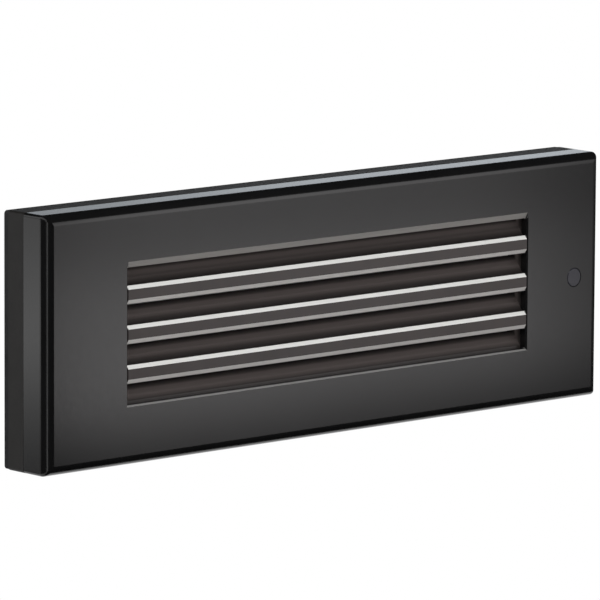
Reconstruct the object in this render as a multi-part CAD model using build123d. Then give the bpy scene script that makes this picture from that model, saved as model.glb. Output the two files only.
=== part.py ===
from build123d import *
import os
from math import cos, pi, radians, sin, tan

# Surface-mounted step light: a shallow back box and a cast front cover with a louvre. Millimetres.
# +X runs to the right along the light, +Z is up and +Y points into the wall.
# The origin is the middle of the face that lies on the wall. A "depth" is a
# distance from the wall towards the front, so a point at depth d has y = -d.

# ---------------------------------------------------------------- overall
cover_width = 241.3
cover_height = 82.55
total_depth = 20.6
cover_depth = 11.05          # the cover's own depth, from its rim to its face
front_edge_radius = 3.3
corner_radius = 1.2

# ---------------------------------------------------------------- clearances
joint_gap = 0.15             # cover's rear rim to the back box's rim
seat_gap = 0.05              # pieces that lie on each other in one body
body_gap = 0.3               # pieces of different bodies that pass each other
running_gap = 0.05           # a turning shank in its hole, on the radius
edge_inset = 0.15            # foam sheet inside the box's outline

# ---------------------------------------------------------------- walls
gasket_thickness = 2.0
box_floor = 2.0
box_wall = 3.2
rim_lip = 1.5                # box's rim outside the seal
seal_rebate = 1.0
seal_width = 1.5
front_wall = 2.8
side_wall = 4.4

# ---------------------------------------------------------------- louvre
face_end = 33.65             # cover's face at each end of the opening
face_edge = 19.33            # cover's face above and below it
top_slot_height = 5.79       # slot above the highest bar
bar_height = 5.85
bar_count = 3
bar_thickness = 2.3
top_bevel_height = 1.15
top_bevel_depth = 1.0
lip_bevel_height = 1.4
lip_bevel_depth = 0.9
brow_height = 1.95           # bevel on the opening's upper edge
brow_depth = 1.0
fin_slope = 48.0             # degrees above horizontal, rising towards the wall
fin_thickness = 1.5
fin_rise = 5.4
grille_ledge = 2.0           # width of the seat round the opening
opening_chamfer = 0.5

# ---------------------------------------------------------------- lens stack
collar_wall = 2.2
lens_gasket_thickness = 1.0
lens_gasket_width = 3.4
lens_thickness = 2.5
lens_gap = 0.5               # lens in front of the reflector's rim
lens_edge_gap = 0.5
clamp_sheet = 1.0
clamp_lip = 4.0              # how far the clamp frame overlaps the lens
clamp_tab_width = 8.0
clamp_screw_pitch = 50.0
clamp_boss_radius = 3.0
clamp_tab_margin = 0.15      # tab beyond the screw's head
cover_rib_thickness = 1.4
cover_rib_height = 4.2
end_rib_spacing = 37.4

# ---------------------------------------------------------------- small screws
small_shank_radius = 1.25
small_head_radius = 2.6
small_head_height = 1.9
small_pilot_radius = 1.3
clamp_screw_grip = 5.0
cross_width = 0.7
cross_length = 2.8
cross_depth = 0.8
screw_tip_gap = 0.2          # screw's tip inside the box's rear

# ---------------------------------------------------------------- cover screws
cover_screw_from_rib = 10.0  # screw's axis beside the outermost long-wall rib
cover_screw_inset = 7.5      # screw's axis behind the face
cover_screw_radius = 1.5
cover_head_radius = 2.75
cover_head_height = 1.7
cover_head_sink = 0.2        # head below the cover's underside
hex_key_width = 2.0
hex_key_depth = 1.0
screw_seal_thickness = 0.8
counterbore_gap = 0.35
nut_width = 5.5
nut_thickness = 1.8
screw_tail = 1.2             # shank beyond the nut
lug_thickness = 2.4
lug_guide = 1.8
lug_front_gap = 0.9          # lug's end behind the cover's front wall

# ---------------------------------------------------------------- LED engine
pad_thickness = 0.3
led_board_thickness = 1.2
led_board_end = 7.0          # board beyond the reflector's floor, at its ends
led_board_edge = 3.0         # and along its long edges
led_rows = 2
led_pitch = 12.0
led_row_spacing = 16.0
led_length = 3.5
led_width = 2.8
led_height = 0.7
led_window_gap = 0.6
led_screw_pitch = 48.0
reflector_sheet = 0.5
reflector_rim_gap = 0.45     # reflector's rim inside the clamp frame's window
reflector_flare = 5.2        # reflector's floor inside its rim
reflector_rise = 2.0

# ---------------------------------------------------------------- driver
driver_wall_gap = 2.45       # board to the box's end wall
driver_width = 20.0
driver_height = 42.0
spacer_thickness = 1.0
driver_board_thickness = 1.2
driver_screw_inset = 2.6
spacer_radius = 2.5
photocell_offset = 4.0       # photocell beyond the driver board's middle
photocell_window_radius = 3.2
window_flange_radius = 4.7
window_flange = 1.2
window_tail = 1.4
window_seal_thickness = 0.8
window_pocket_wall = 1.3
sensor_radius = 2.5
sensor_height = 4.6
sleeve_wall = 1.2
choke_radius = 4.0
choke_height = 7.5
choke_flange = 1.2
choke_inset = 8.8            # choke's middle from the board's upper edge
capacitor_radius = 4.0
capacitor_height = 9.0
capacitor_inset = 10.5       # capacitor's middle from the board's lower edge
rectifier_width = 6.4
rectifier_height = 8.0
chip_length = 4.9
chip_width = 3.9
chip_inset = 3.6             # chip's middle from the board's lower edge
fuse_radius = 3.6
fuse_height = 6.6
fuse_drop = 8.8              # fuse below the photocell
varistor_radius = 3.6
varistor_thickness = 3.2
varistor_climb = 9.4         # varistor above the photocell

# ---------------------------------------------------------------- wiring end
terminal_wall_gap = 2.0      # terminal block to the box's end wall
terminal_below_earth = 20.0
pole_pitch = 5.0
pole_count = 3
terminal_height = 13.0
terminal_depth = 10.5
terminal_ear = 6.5
port_radius = 1.2
port_length = 5.0
well_radius = 1.9
well_depth = 4.0
grommet_wall_gap = 4.35      # grommet's flange to the box's end wall
grommet_below_terminal = 18.0
cable_radius = 3.6
grommet_hole_radius = 6.0
grommet_flange_radius = 7.6
grommet_front_flange = 1.6
grommet_rear_flange = 1.1
grommet_nose = 2.0
earth_wall_gap = 9.575       # earth screw's axis below the box's upper wall
earth_screw_radius = 1.75
earth_head_radius = 3.1
earth_head_height = 2.2
tag_thickness = 0.6
barrel_length = 4.0

# ---------------------------------------------------------------- leads
lead_radius = 0.8
thin_lead_radius = 0.5
lead_depth = 7.1
lead_widest_bend = 6.0
run_wall_gap = 2.475         # upper lead's axis below the box's upper wall
run_pitch = 1.9
live_drop_offset = -1.5      # drop from the driver board's middle
neutral_drop_offset = 2.3
lead_inset = 2.2             # lead's end over the driver board
led_lead_z = (8.0, 12.5)
clip_length = 5.0

# ---------------------------------------------------------------- wall screws
slot_end_inset = 24.15       # slot's middle from the box's end
slot_edge_inset = 14.275     # and from its long edge
slot_length = 9.0
slot_width = 5.0

# ---------------------------------------------------------------- worked out
plate_front = gasket_thickness + box_floor
cover_rear = total_depth - cover_depth
box_front = cover_rear - joint_gap
seal_rear = box_front - seal_rebate
seal_front = cover_rear - seat_gap
front_wall_rear = total_depth - front_wall
inner_width = cover_width - 2 * side_wall
inner_height = cover_height - 2 * side_wall
box_inner_width = cover_width - 2 * box_wall
box_inner_height = cover_height - 2 * box_wall

opening_width = cover_width - 2 * face_end
opening_height = cover_height - 2 * face_edge
louvre_pitch = (opening_height - top_slot_height) / bar_count
grille_width = opening_width + 2 * grille_ledge
grille_height = opening_height + 2 * grille_ledge
collar_width = grille_width + 2 * collar_wall
collar_height = grille_height + 2 * collar_wall
pad_front = plate_front + pad_thickness
led_board_front = pad_front + led_board_thickness
reflector_floor = led_board_front + reflector_sheet
reflector_front = reflector_floor + reflector_rise
lens_rear = reflector_front + lens_gap
lens_front = lens_rear + lens_thickness
collar_rear = lens_front + lens_gasket_thickness
grille_rear = collar_rear + seat_gap
grille_front = front_wall_rear - seat_gap
lens_width = collar_width - 2 * lens_edge_gap
lens_height = collar_height - 2 * lens_edge_gap
clamp_rear = lens_rear - clamp_sheet
clamp_window = (lens_width - 2 * clamp_lip, lens_height - 2 * clamp_lip)
clamp_screw_z = collar_height / 2 + clamp_boss_radius + 0.4
clamp_screw_columns = int((collar_width - 2 * clamp_boss_radius) / clamp_screw_pitch) + 1
cover_screw_x = (clamp_screw_columns - 2) * clamp_screw_pitch / 2 + cover_screw_from_rib

reflector_rim = [size - 2 * reflector_rim_gap for size in clamp_window]
reflector_base = [size - 2 * reflector_flare for size in reflector_rim]
led_board_length = reflector_base[0] + 2 * led_board_end
led_board_height = reflector_base[1] + 2 * led_board_edge
led_window = (led_length + 2 * led_window_gap, led_width + 2 * led_window_gap)
led_columns = int((reflector_base[0] - 2 * reflector_sheet - led_window[0]) / led_pitch) + 1
led_screw_columns = int((reflector_base[0] - 2 * (small_head_radius + reflector_sheet)) / led_screw_pitch) + 1

driver_x = box_inner_width / 2 - driver_wall_gap - driver_width / 2
driver_rear = plate_front + spacer_thickness
driver_front = driver_rear + driver_board_thickness
photocell_x = driver_x + photocell_offset
terminal_width = pole_pitch * pole_count + 1.5
terminal_x = -(box_inner_width / 2 - terminal_wall_gap - terminal_width / 2)
earth_z = box_inner_height / 2 - earth_wall_gap
terminal_z = earth_z - terminal_below_earth
grommet_x = -(box_inner_width / 2 - grommet_wall_gap - grommet_flange_radius)
grommet_z = terminal_z - grommet_below_terminal
neutral_run_z = box_inner_height / 2 - run_wall_gap
live_run_z = neutral_run_z - run_pitch
slot_spacing_x = cover_width - 2 * slot_end_inset
slot_spacing_z = cover_height - 2 * slot_edge_inset
port_lead_end = terminal_z + terminal_height / 2 - port_length + 0.6
earth_x = terminal_x - pole_pitch * (pole_count - 1) / 2
barrel_foot = earth_z - earth_head_radius - 0.6 - barrel_length

cover_floor = -cover_height / 2
head_seat = cover_floor + cover_head_sink + cover_head_height
seal_seat = head_seat + screw_seal_thickness + seat_gap
cover_screw_depth = total_depth - cover_screw_inset
lug_front = front_wall_rear - lug_front_gap
lug_underside = -inner_height / 2 + body_gap
lug_top = lug_underside + lug_thickness
nut_underside = lug_top + body_gap
nut_top = nut_underside + nut_thickness


def wall_plane(depth):
    """A plane parallel to the wall, facing the front: its x is X and its y is Z."""
    return Plane(origin=(0, -depth, 0), x_dir=(1, 0, 0), z_dir=(0, -1, 0))


def level_plane(z):
    """A horizontal plane facing up: its x is X and its y is Y."""
    return Plane(origin=(0, 0, z), x_dir=(1, 0, 0), z_dir=(0, 0, 1))


def slab(width, height, radius, rear, front, x=0.0, z=0.0):
    """A rounded plate between two depths."""
    outline = RectangleRounded(width, height, radius) if radius > 0 else Rectangle(width, height)
    return extrude(wall_plane(rear) * (Pos(x, z) * outline), amount=front - rear)


def frame(outer, inner, radius, rear, front):
    """A plate with a rounded window. Outer and inner are (width, height)."""
    hole = RectangleRounded(inner[0], inner[1], radius)
    sketch = RectangleRounded(outer[0], outer[1], radius) - hole
    return extrude(wall_plane(rear) * sketch, amount=front - rear)


def post(x, z, radius, rear, front):
    """A round post between two depths."""
    return extrude(wall_plane(rear) * (Pos(x, z) * Circle(radius)), amount=front - rear)


def tube(x, z, outer, inner, rear, front):
    """A round tube between two depths."""
    return post(x, z, outer, rear, front) - post(x, z, inner, rear, front)


def row(count, pitch):
    """Places of a centred row."""
    return [(index - (count - 1) / 2) * pitch for index in range(count)]


def grid(columns, column_pitch, rows, row_pitch):
    """Places of a centred grid."""
    return [(x, z) for x in row(columns, column_pitch) for z in row(rows, row_pitch)]


def small_screw(x, z, seat):
    """A pan-head screw with a cross recess, driven into the box's floor. The head lies on seat."""
    shank = post(x, z, small_shank_radius, gasket_thickness + screw_tip_gap, seat)
    head = post(x, z, small_head_radius, seat, seat + small_head_height)
    rim = head.faces().sort_by(Axis.Y)[0].edges()
    head = chamfer(rim, small_head_height * 0.35)
    return shank + head - cross_recess(x, z, seat + small_head_height)


def cross_recess(x, z, front):
    """The cross cut in a screw's head."""
    arms = Rectangle(cross_length, cross_width) + Rectangle(cross_width, cross_length)
    return extrude(wall_plane(front) * (Pos(x, z) * arms), amount=-cross_depth)


def wall_slots(rear, front, margin=0.0):
    """The four wall-screw slots, as cutters."""
    slot = SlotOverall(slot_length + 2 * margin, slot_width + 2 * margin)
    places = grid(2, slot_spacing_x, 2, slot_spacing_z)
    return [extrude(wall_plane(rear) * (Pos(x, z) * slot), amount=front - rear) for x, z in places]


def driver_screw_places():
    """The driver board's four corners."""
    return [
        (driver_x + side * (driver_width / 2 - driver_screw_inset), end * (driver_height / 2 - driver_screw_inset))
        for side in (-1, 1)
        for end in (-1, 1)
    ]


def led_screw_places():
    return [(x, 0.0) for x in row(led_screw_columns, led_screw_pitch)]


def rib_places():
    """Midway between the clamp screws: the long walls' ribs, and the lead clips behind them."""
    return row(clamp_screw_columns - 1, clamp_screw_pitch)


def clamp_screw_places():
    return grid(clamp_screw_columns, clamp_screw_pitch, 2, 2 * clamp_screw_z)


def terminal_screw_place():
    return terminal_x + terminal_width / 2 + terminal_ear / 2, terminal_z


# ------------------------------------------------------------------ base
def make_wall_gasket():
    """Die-cut foam sheet, open at the screw slots and at the grommet."""
    sheet = slab(cover_width - 2 * edge_inset, cover_height - 2 * edge_inset, corner_radius, 0, gasket_thickness)
    sheet -= wall_slots(0, gasket_thickness, margin=1.0)
    return sheet - post(grommet_x, grommet_z, grommet_flange_radius + 0.5, 0, gasket_thickness)


def cover_lug(x):
    """A lug with an open-ended notch for the screw and two guides that keep the nut from turning."""
    half = nut_width / 2 + body_gap
    profile = Polyline(
        (-half - lug_guide, lug_underside),
        (half + lug_guide, lug_underside),
        (half + lug_guide, nut_top),
        (half, nut_top),
        (half, lug_top),
        (-half, lug_top),
        (-half, nut_top),
        (-half - lug_guide, nut_top),
        close=True,
    )
    root = plate_front - 0.5
    lug = extrude(wall_plane(root) * (Pos(x, 0) * make_face(profile)), amount=lug_front - root)
    notch_radius = cover_screw_radius + body_gap
    notch = Pos(x, -cover_screw_depth) * Circle(notch_radius)
    mouth_length = lug_front + 1 - cover_screw_depth
    mouth = Pos(x, -cover_screw_depth - mouth_length / 2) * Rectangle(2 * notch_radius, mouth_length)
    return lug - extrude(level_plane(lug_underside - 1) * (notch + mouth), amount=lug_thickness + 2)


def make_back_box():
    """Moulded tray with a rebated rim, two lugs, a cable hole and screw slots."""
    body = slab(cover_width, cover_height, corner_radius, gasket_thickness, box_front)
    body -= slab(box_inner_width, box_inner_height, 1.0, plate_front, box_front)
    rebate = (cover_width - 2 * rim_lip, cover_height - 2 * rim_lip)
    body -= slab(rebate[0], rebate[1], corner_radius, seal_rear, box_front)
    body += [cover_lug(-cover_screw_x), cover_lug(cover_screw_x)]
    body -= wall_slots(gasket_thickness, plate_front)
    body -= post(grommet_x, grommet_z, grommet_hole_radius, gasket_thickness, plate_front)
    pilots = driver_screw_places() + led_screw_places() + [terminal_screw_place()]
    body -= [post(x, z, small_pilot_radius, gasket_thickness, plate_front) for x, z in pilots]
    return body - post(earth_x, earth_z, earth_screw_radius + running_gap, gasket_thickness, plate_front)


def make_cover_seal():
    """Flat silicone ring in the rebate of the back box's rim."""
    outer = (cover_width - 2 * (rim_lip + seat_gap), cover_height - 2 * (rim_lip + seat_gap))
    inner = (outer[0] - 2 * seal_width, outer[1] - 2 * seal_width)
    return frame(outer, inner, corner_radius, seal_rear, seal_front)


def make_thermal_pad():
    pad = slab(led_board_length, led_board_height, 1.0, plate_front, pad_front)
    return pad - [post(x, z, small_pilot_radius + 0.4, plate_front, pad_front) for x, z in led_screw_places()]


def make_led_board():
    board = slab(led_board_length, led_board_height, 1.0, pad_front, led_board_front)
    return board - [post(x, z, small_pilot_radius, pad_front, led_board_front) for x, z in led_screw_places()]


def led_places():
    return grid(led_columns, led_pitch, led_rows, led_row_spacing)


def make_led_chips():
    """Packages with a shallow dished window that holds the phosphor."""
    chips = Part()
    for x, z in led_places():
        chip = slab(led_length, led_width, 0, led_board_front, led_board_front + led_height, x, z)
        front = led_board_front + led_height
        window = wall_plane(front) * (Pos(x, z) * Rectangle(led_length - 0.7, led_width - 0.7))
        chips += chip - extrude(window, amount=-0.15, taper=20)
    return chips


def make_reflector():
    """White tray: a floor with a window for each LED, and a rim that flares towards the lens."""
    floor_plane = wall_plane(led_board_front)
    rim_plane = wall_plane(reflector_front)
    outer = loft([floor_plane * Rectangle(*reflector_base), rim_plane * Rectangle(*reflector_rim)])
    wall = 2 * reflector_sheet
    inner_floor = wall_plane(reflector_floor) * Rectangle(reflector_base[0] - wall, reflector_base[1] - wall)
    inner_rim = rim_plane * Rectangle(reflector_rim[0] - wall, reflector_rim[1] - wall)
    tray = outer - loft([inner_floor, inner_rim])
    tray -= [slab(*led_window, 0.5, led_board_front, reflector_floor, x, z) for x, z in led_places()]
    return tray - [post(x, z, small_pilot_radius, led_board_front, reflector_floor) for x, z in led_screw_places()]


def make_led_board_screws():
    screws = Part()
    for x, z in led_screw_places():
        screws += small_screw(x, z, reflector_floor + seat_gap)
    return screws


# ------------------------------------------------------------------ driver
def make_driver_board():
    board = slab(driver_width, driver_height, 1.0, driver_rear, driver_front, driver_x)
    return board - [post(x, z, small_pilot_radius, driver_rear, driver_front) for x, z in driver_screw_places()]


def make_driver_board_spacers():
    """Nylon washers between the driver board and the box's floor."""
    spacers = Part()
    for x, z in driver_screw_places():
        spacers += tube(x, z, spacer_radius, small_pilot_radius, plate_front, driver_rear)
    return spacers


def make_driver_board_screws():
    screws = Part()
    for x, z in driver_screw_places():
        screws += small_screw(x, z, driver_front + seat_gap)
    return screws


def make_driver_choke():
    """Drum core with two flanges and a winding between them."""
    x, z = driver_x - 3.2, driver_height / 2 - choke_inset
    foot, top = driver_front + choke_flange, driver_front + choke_height - choke_flange
    flanges = post(x, z, choke_radius, driver_front, foot) + post(x, z, choke_radius, top, top + choke_flange)
    return flanges + post(x, z, choke_radius - 0.6, foot, top)


def make_driver_capacitor():
    """Standing aluminium can with a rolled neck and a scored vent."""
    x, z = driver_x - 4.2, capacitor_inset - driver_height / 2
    top = driver_front + capacitor_height
    can = post(x, z, capacitor_radius, driver_front, top)
    can = fillet(can.edges().filter_by(GeomType.CIRCLE), 0.6)
    can -= tube(x, z, capacitor_radius + 0.5, capacitor_radius - 0.5, driver_front + 1.4, driver_front + 2.2)
    arm = 1.15 * capacitor_radius
    vent = Rectangle(arm, 0.4) + Rectangle(0.4, arm)
    return can - extrude(wall_plane(top) * (Pos(x, z) * vent), amount=-0.25)


def make_driver_rectifier():
    """Flat bridge rectifier with a notch that marks one end, and four pins."""
    x, z = driver_x - 5.4, 0.4
    body = slab(rectifier_width, rectifier_height, 0.4, driver_front + 0.3, driver_front + 3.0, x, z)
    body -= post(x, z + rectifier_height / 2, 0.8, driver_front + 2.2, driver_front + 3.0)
    pin_x, pin_z = rectifier_width / 2 + 0.2, rectifier_height / 2 - 1.5
    pins = [slab(1.1, 0.8, 0, driver_front, driver_front + 0.5, x + sx * pin_x, z + sz * pin_z)
            for sx in (-1, 1) for sz in (-1, 1)]
    return body + pins


def make_driver_chip():
    """Eight-lead control chip."""
    x, z = driver_x, chip_inset - driver_height / 2
    body = slab(chip_length, chip_width, 0.2, driver_front + 0.15, driver_front + 1.6, x, z)
    legs = [slab(0.42, 1.3, 0, driver_front, driver_front + 0.4, x + dx, z + side * (chip_width / 2 + 0.4))
            for dx in row(4, 1.27) for side in (-1, 1)]
    return body + legs


def make_driver_fuse():
    """Round radial fuse with a shouldered cap."""
    can = post(driver_x + 4.8, -fuse_drop, fuse_radius, driver_front, driver_front + fuse_height)
    top = can.faces().sort_by(Axis.Y)[0].edges()
    return chamfer(top, 0.5)


def make_driver_varistor():
    """Surge disc standing on edge on its two leads."""
    x, z = driver_x + 4.4, varistor_climb
    centre = driver_front + varistor_radius + 1.2
    disc_plane = Plane(origin=(x, -centre, z - varistor_thickness / 2), x_dir=(1, 0, 0), z_dir=(0, 0, 1))
    disc = extrude(disc_plane * Circle(varistor_radius), amount=varistor_thickness)
    disc = fillet(disc.edges().filter_by(GeomType.CIRCLE), 0.8)
    legs = [post(x + side * 2.2, z, 0.35, driver_front, centre - 1.0) for side in (-1, 1)]
    return disc + legs


def make_photocell_sensor():
    """Light sensor with a domed nose, standing behind the window."""
    dome = driver_front + sensor_height
    body = post(photocell_x, 0, sensor_radius, driver_front, dome)
    body += post(photocell_x, 0, sensor_radius + 0.4, driver_front, driver_front + 0.8)
    nose = body.faces().sort_by(Axis.Y)[0].edges()
    return fillet(nose, sensor_radius * 0.55)


def make_photocell_sleeve():
    """Rubber sleeve that keeps the lamp's own light off the sensor."""
    inner = sensor_radius + 0.5
    front = front_wall_rear - window_seal_thickness - window_flange - window_tail - body_gap
    return tube(photocell_x, 0, inner + sleeve_wall, inner, driver_front, front)


# ------------------------------------------------------------------ wiring
def pole_places():
    return [terminal_x + offset for offset in row(pole_count, pole_pitch)]


def make_terminal_block():
    """Three-pole block: side ports for the wires, front wells for the clamping screws."""
    front = plate_front + terminal_depth
    body = slab(terminal_width, terminal_height, 0.6, plate_front, front, terminal_x, terminal_z)
    edges = body.faces().sort_by(Axis.Y)[0].edges()
    body = chamfer(edges, 0.5)
    ear_x, ear_z = terminal_screw_place()
    body += slab(terminal_ear + 1.0, 7.0, 1.0, plate_front, plate_front + 2.0, ear_x - 0.5, ear_z)
    body -= post(ear_x, ear_z, small_pilot_radius, plate_front, plate_front + 2.0)
    for x in pole_places():
        body -= post(x, terminal_z, well_radius, front - well_depth, front)
        for side in (-1, 1):
            mouth = Plane(origin=(x, -lead_depth, terminal_z + side * terminal_height / 2), z_dir=(0, 0, -side))
            body -= extrude(mouth * Circle(port_radius), amount=port_length)
            body -= extrude(mouth * Circle(port_radius + 0.5), amount=0.5, taper=40)
    grooves = [slab(0.6, terminal_height, 0, front - 0.6, front, x, terminal_z)
               for x in [terminal_x + offset for offset in row(pole_count - 1, pole_pitch)]]
    return body - grooves


def make_terminal_screws():
    """Slotted clamping screws down in their wells."""
    screws = Part()
    floor = plate_front + terminal_depth - well_depth
    for x in pole_places():
        screw = post(x, terminal_z, well_radius - 0.2, floor, floor + 1.8)
        screws += screw - slab(2 * well_radius, 0.6, 0, floor + 1.1, floor + 1.8, x, terminal_z)
    return screws


def make_terminal_block_screw():
    x, z = terminal_screw_place()
    return small_screw(x, z, plate_front + 2.0 + seat_gap)


def make_supply_grommet():
    """Rubber grommet turned about the cable's axis, with a soft nose inside."""
    rear = gasket_thickness - grommet_rear_flange
    front = plate_front + grommet_front_flange
    waist = grommet_hole_radius - seat_gap
    profile = Polyline(
        (cable_radius, rear),
        (grommet_flange_radius, rear),
        (grommet_flange_radius, gasket_thickness - seat_gap),
        (waist, gasket_thickness - seat_gap),
        (waist, plate_front + seat_gap),
        (grommet_flange_radius, plate_front + seat_gap),
        (grommet_flange_radius - 0.6, front),
        (cable_radius + 1.6, front),
        (cable_radius + 1.0, front + grommet_nose),
        (cable_radius, front + grommet_nose),
        close=True,
    )
    radial = Plane(origin=(grommet_x, 0, grommet_z), x_dir=(1, 0, 0), z_dir=(0, 0, 1))
    section = radial * mirror(make_face(profile), Plane.XZ)
    return revolve(section, Axis((grommet_x, 0, grommet_z), (0, 1, 0)), 360)


def make_earth_tag():
    """Ring tag with a crimped barrel that points down to the terminal block."""
    barrel_top = barrel_foot + barrel_length
    ring = Pos(earth_x, earth_z) * Circle(earth_head_radius + 0.3)
    tail = Pos(earth_x, (earth_z + barrel_top) / 2 - 1.0) * Rectangle(2.6, earth_z - barrel_top + 2.0)
    tag = extrude(wall_plane(plate_front) * (ring + tail), amount=tag_thickness)
    tag -= post(earth_x, earth_z, earth_screw_radius + running_gap, plate_front, plate_front + tag_thickness)
    barrel = Plane(origin=(earth_x, -(plate_front + lead_radius + tag_thickness), barrel_foot), z_dir=(0, 0, 1))
    sleeve = extrude(barrel * Circle(lead_radius + tag_thickness), amount=barrel_length)
    return tag + sleeve - extrude(barrel * Circle(lead_radius + running_gap), amount=barrel_length - 0.6)


def make_earth_screw():
    """Hexagon washer-head screw."""
    seat = plate_front + tag_thickness + seat_gap
    shank = post(earth_x, earth_z, earth_screw_radius, gasket_thickness + 0.2, seat)
    head = wall_plane(seat) * (Pos(earth_x, earth_z) * Circle(earth_head_radius))
    hexagon = wall_plane(seat) * (Pos(earth_x, earth_z) * RegularPolygon(earth_head_radius - 0.4, 6))
    screw = shank + extrude(head, amount=0.6) + extrude(hexagon, amount=earth_head_height)
    return screw - cross_recess(earth_x, earth_z, seat + earth_head_height)


def bend_radii(points, most):
    """The arc at each corner: as wide as the shorter run beside it lets it be, up to most."""
    radii = []
    for before, corner, after in zip(points, points[1:], points[2:]):
        runs = [Vector(*corner) - Vector(*before), Vector(*after) - Vector(*corner)]
        half_turn = radians(runs[0].get_angle(runs[1])) / 2
        radii.append(min(most, 0.45 * min(run.length for run in runs) / tan(half_turn)))
    return radii


def swept_lead(name, points, radius, most):
    """A round lead along straight runs joined by tangent arcs."""
    radii = bend_radii(points, most)
    path = FilletPolyline(*points, radius=radii)
    start = Plane(origin=path @ 0, z_dir=path % 0)
    lead = sweep(start * Circle(radius), path=path)
    whole = lead.volume / (pi * radius * radius * path.length)
    print(f"{name}: bends {[round(value, 1) for value in radii]}, volume / (section x length) {whole:.4f}")
    return lead


def supply_lead(name, pole, run_z, drop_x):
    """From a terminal port, up, along the top of the box and down on the driver board."""
    x = pole_places()[pole]
    points = [
        (x, -lead_depth, port_lead_end),
        (x, -lead_depth, run_z),
        (drop_x, -lead_depth, run_z),
        (drop_x, -lead_depth, driver_height / 2 - lead_inset),
    ]
    return swept_lead(name, points, lead_radius, lead_widest_bend)


def make_earth_lead():
    """From the left terminal port up into the tag's barrel, stepping back to the floor."""
    low = plate_front + lead_radius + tag_thickness
    points = [
        (earth_x, -lead_depth, port_lead_end),
        (earth_x, -lead_depth, terminal_z + terminal_height / 2 + 0.6),
        (earth_x, -low, barrel_foot - 0.6),
        (earth_x, -low, barrel_foot + barrel_length - 1.0),
    ]
    return swept_lead("earth_lead", points, lead_radius, lead_widest_bend)


def led_lead(name, z):
    """From the driver board's edge, stepping down to the LED board's end."""
    high = driver_front + thin_lead_radius + seat_gap
    low = led_board_front + thin_lead_radius + seat_gap
    driver_edge = driver_x - driver_width / 2
    board_end = led_board_length / 2
    points = [
        (driver_edge + 2.0, -high, z),
        (driver_edge - 0.8, -high, z),
        (board_end + 1.8, -low, z),
        (board_end - 1.2, -low, z),
    ]
    return swept_lead(name, points, thin_lead_radius, lead_widest_bend)


def make_lead_clips():
    """Saddles on the box's floor: two round seats, each with a slit the lead is pressed in through."""
    foot = live_run_z - lead_radius - 1.0
    top = neutral_run_z + lead_radius + 0.4
    front = lead_depth + lead_radius + 1.0
    clips = Part()
    for x in rib_places():
        clip = slab(clip_length, top - foot, 0.4, plate_front, front, x, (foot + top) / 2)
        for z in (live_run_z, neutral_run_z):
            seat = Plane(origin=(x - clip_length / 2, -lead_depth, z), x_dir=(0, 0, 1), z_dir=(1, 0, 0))
            clip -= extrude(seat * Circle(lead_radius + running_gap), amount=clip_length)
            clip -= slab(clip_length, 0.9 * lead_radius, 0, lead_depth, front, x, z)
        clips += clip
    return clips


# ------------------------------------------------------------------ cover
def make_cover():
    """Cast shell with a rounded front, a collar for the louvre and lens, and ribs."""
    shell = extrude(wall_plane(cover_rear) * Rectangle(cover_width, cover_height), amount=total_depth - cover_rear)
    shell = fillet(shell.faces().sort_by(Axis.Y)[0].edges(), front_edge_radius)
    shell = fillet(shell.edges().filter_by(Axis.Y), corner_radius)
    shell -= slab(inner_width, inner_height, 2.0, cover_rear, front_wall_rear)

    shell += frame((collar_width, collar_height), (grille_width, grille_height), 1.0, collar_rear, total_depth - 1)
    shell -= slab(opening_width, opening_height, 0.5, front_wall_rear - 1, total_depth)
    mouth = wall_plane(total_depth - opening_chamfer) * Rectangle(opening_width, opening_height)
    shell -= extrude(mouth, amount=opening_chamfer, taper=-45)
    shell -= blade(brow_cut(), opening_width / 2)
    shell -= slab(grille_width, grille_height, 1.0, collar_rear, front_wall_rear)

    shell += [post(x, z, clamp_boss_radius, lens_rear, total_depth - 1) for x, z in clamp_screw_places()]
    pilot_floor = lens_rear + clamp_screw_grip + 0.5
    shell -= [post(x, z, small_pilot_radius, lens_rear, pilot_floor) for x, z in clamp_screw_places()]
    shell += cover_ribs()
    shell += window_pocket()
    shell -= post(photocell_x, 0, photocell_window_radius + seat_gap, front_wall_rear - 1, total_depth)
    return shell - [screw_recess(x) for x in (-cover_screw_x, cover_screw_x)]


def brow_cut():
    """Cutter for the bevel on the opening's upper edge, which matches the bars' lower edges.
    Its slanting side runs on past both ends of the bevel. Points are (distance behind the face, height)."""
    edge = opening_height / 2
    return [
        (-brow_depth, edge + 2 * brow_height),
        (2 * brow_depth, edge - brow_height),
        (-brow_depth, edge - brow_height),
    ]


def cover_ribs():
    """Stiffening ribs from the collar out to the long walls and to the end walls."""
    rear = front_wall_rear - cover_rib_height
    inner = (collar_width / 2 - 0.5, collar_height / 2 - 0.5)
    reach = (inner_width / 2 + 0.5 - inner[0], inner_height / 2 + 0.5 - inner[1])
    ribs = []
    for side in (-1, 1):
        z = side * (inner[1] + reach[1] / 2)
        ribs += [slab(cover_rib_thickness, reach[1], 0, rear, front_wall_rear + 0.5, x, z)
                 for x in rib_places()]
        x = side * (inner[0] + reach[0] / 2)
        ribs += [slab(reach[0], cover_rib_thickness, 0, rear, front_wall_rear + 0.5, x, z)
                 for z in row(2, end_rib_spacing)]
    return ribs


def window_pocket():
    """Round wall that holds the photocell window's flange."""
    pocket = window_flange_radius + 0.2
    rear = front_wall_rear - window_seal_thickness - window_flange
    return tube(photocell_x, 0, pocket + window_pocket_wall, pocket, rear, front_wall_rear + 0.5)


def screw_recess(x):
    """Counterbore and hole for a cover screw, from the underside."""
    centre = Pos(x, -cover_screw_depth)
    bore = cover_head_radius + counterbore_gap
    sink = extrude(level_plane(cover_floor) * (centre * Circle(bore)), amount=seal_seat - cover_floor)
    hole = extrude(level_plane(cover_floor) * (centre * Circle(cover_screw_radius + running_gap)), amount=side_wall + 1)
    return sink + hole


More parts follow.
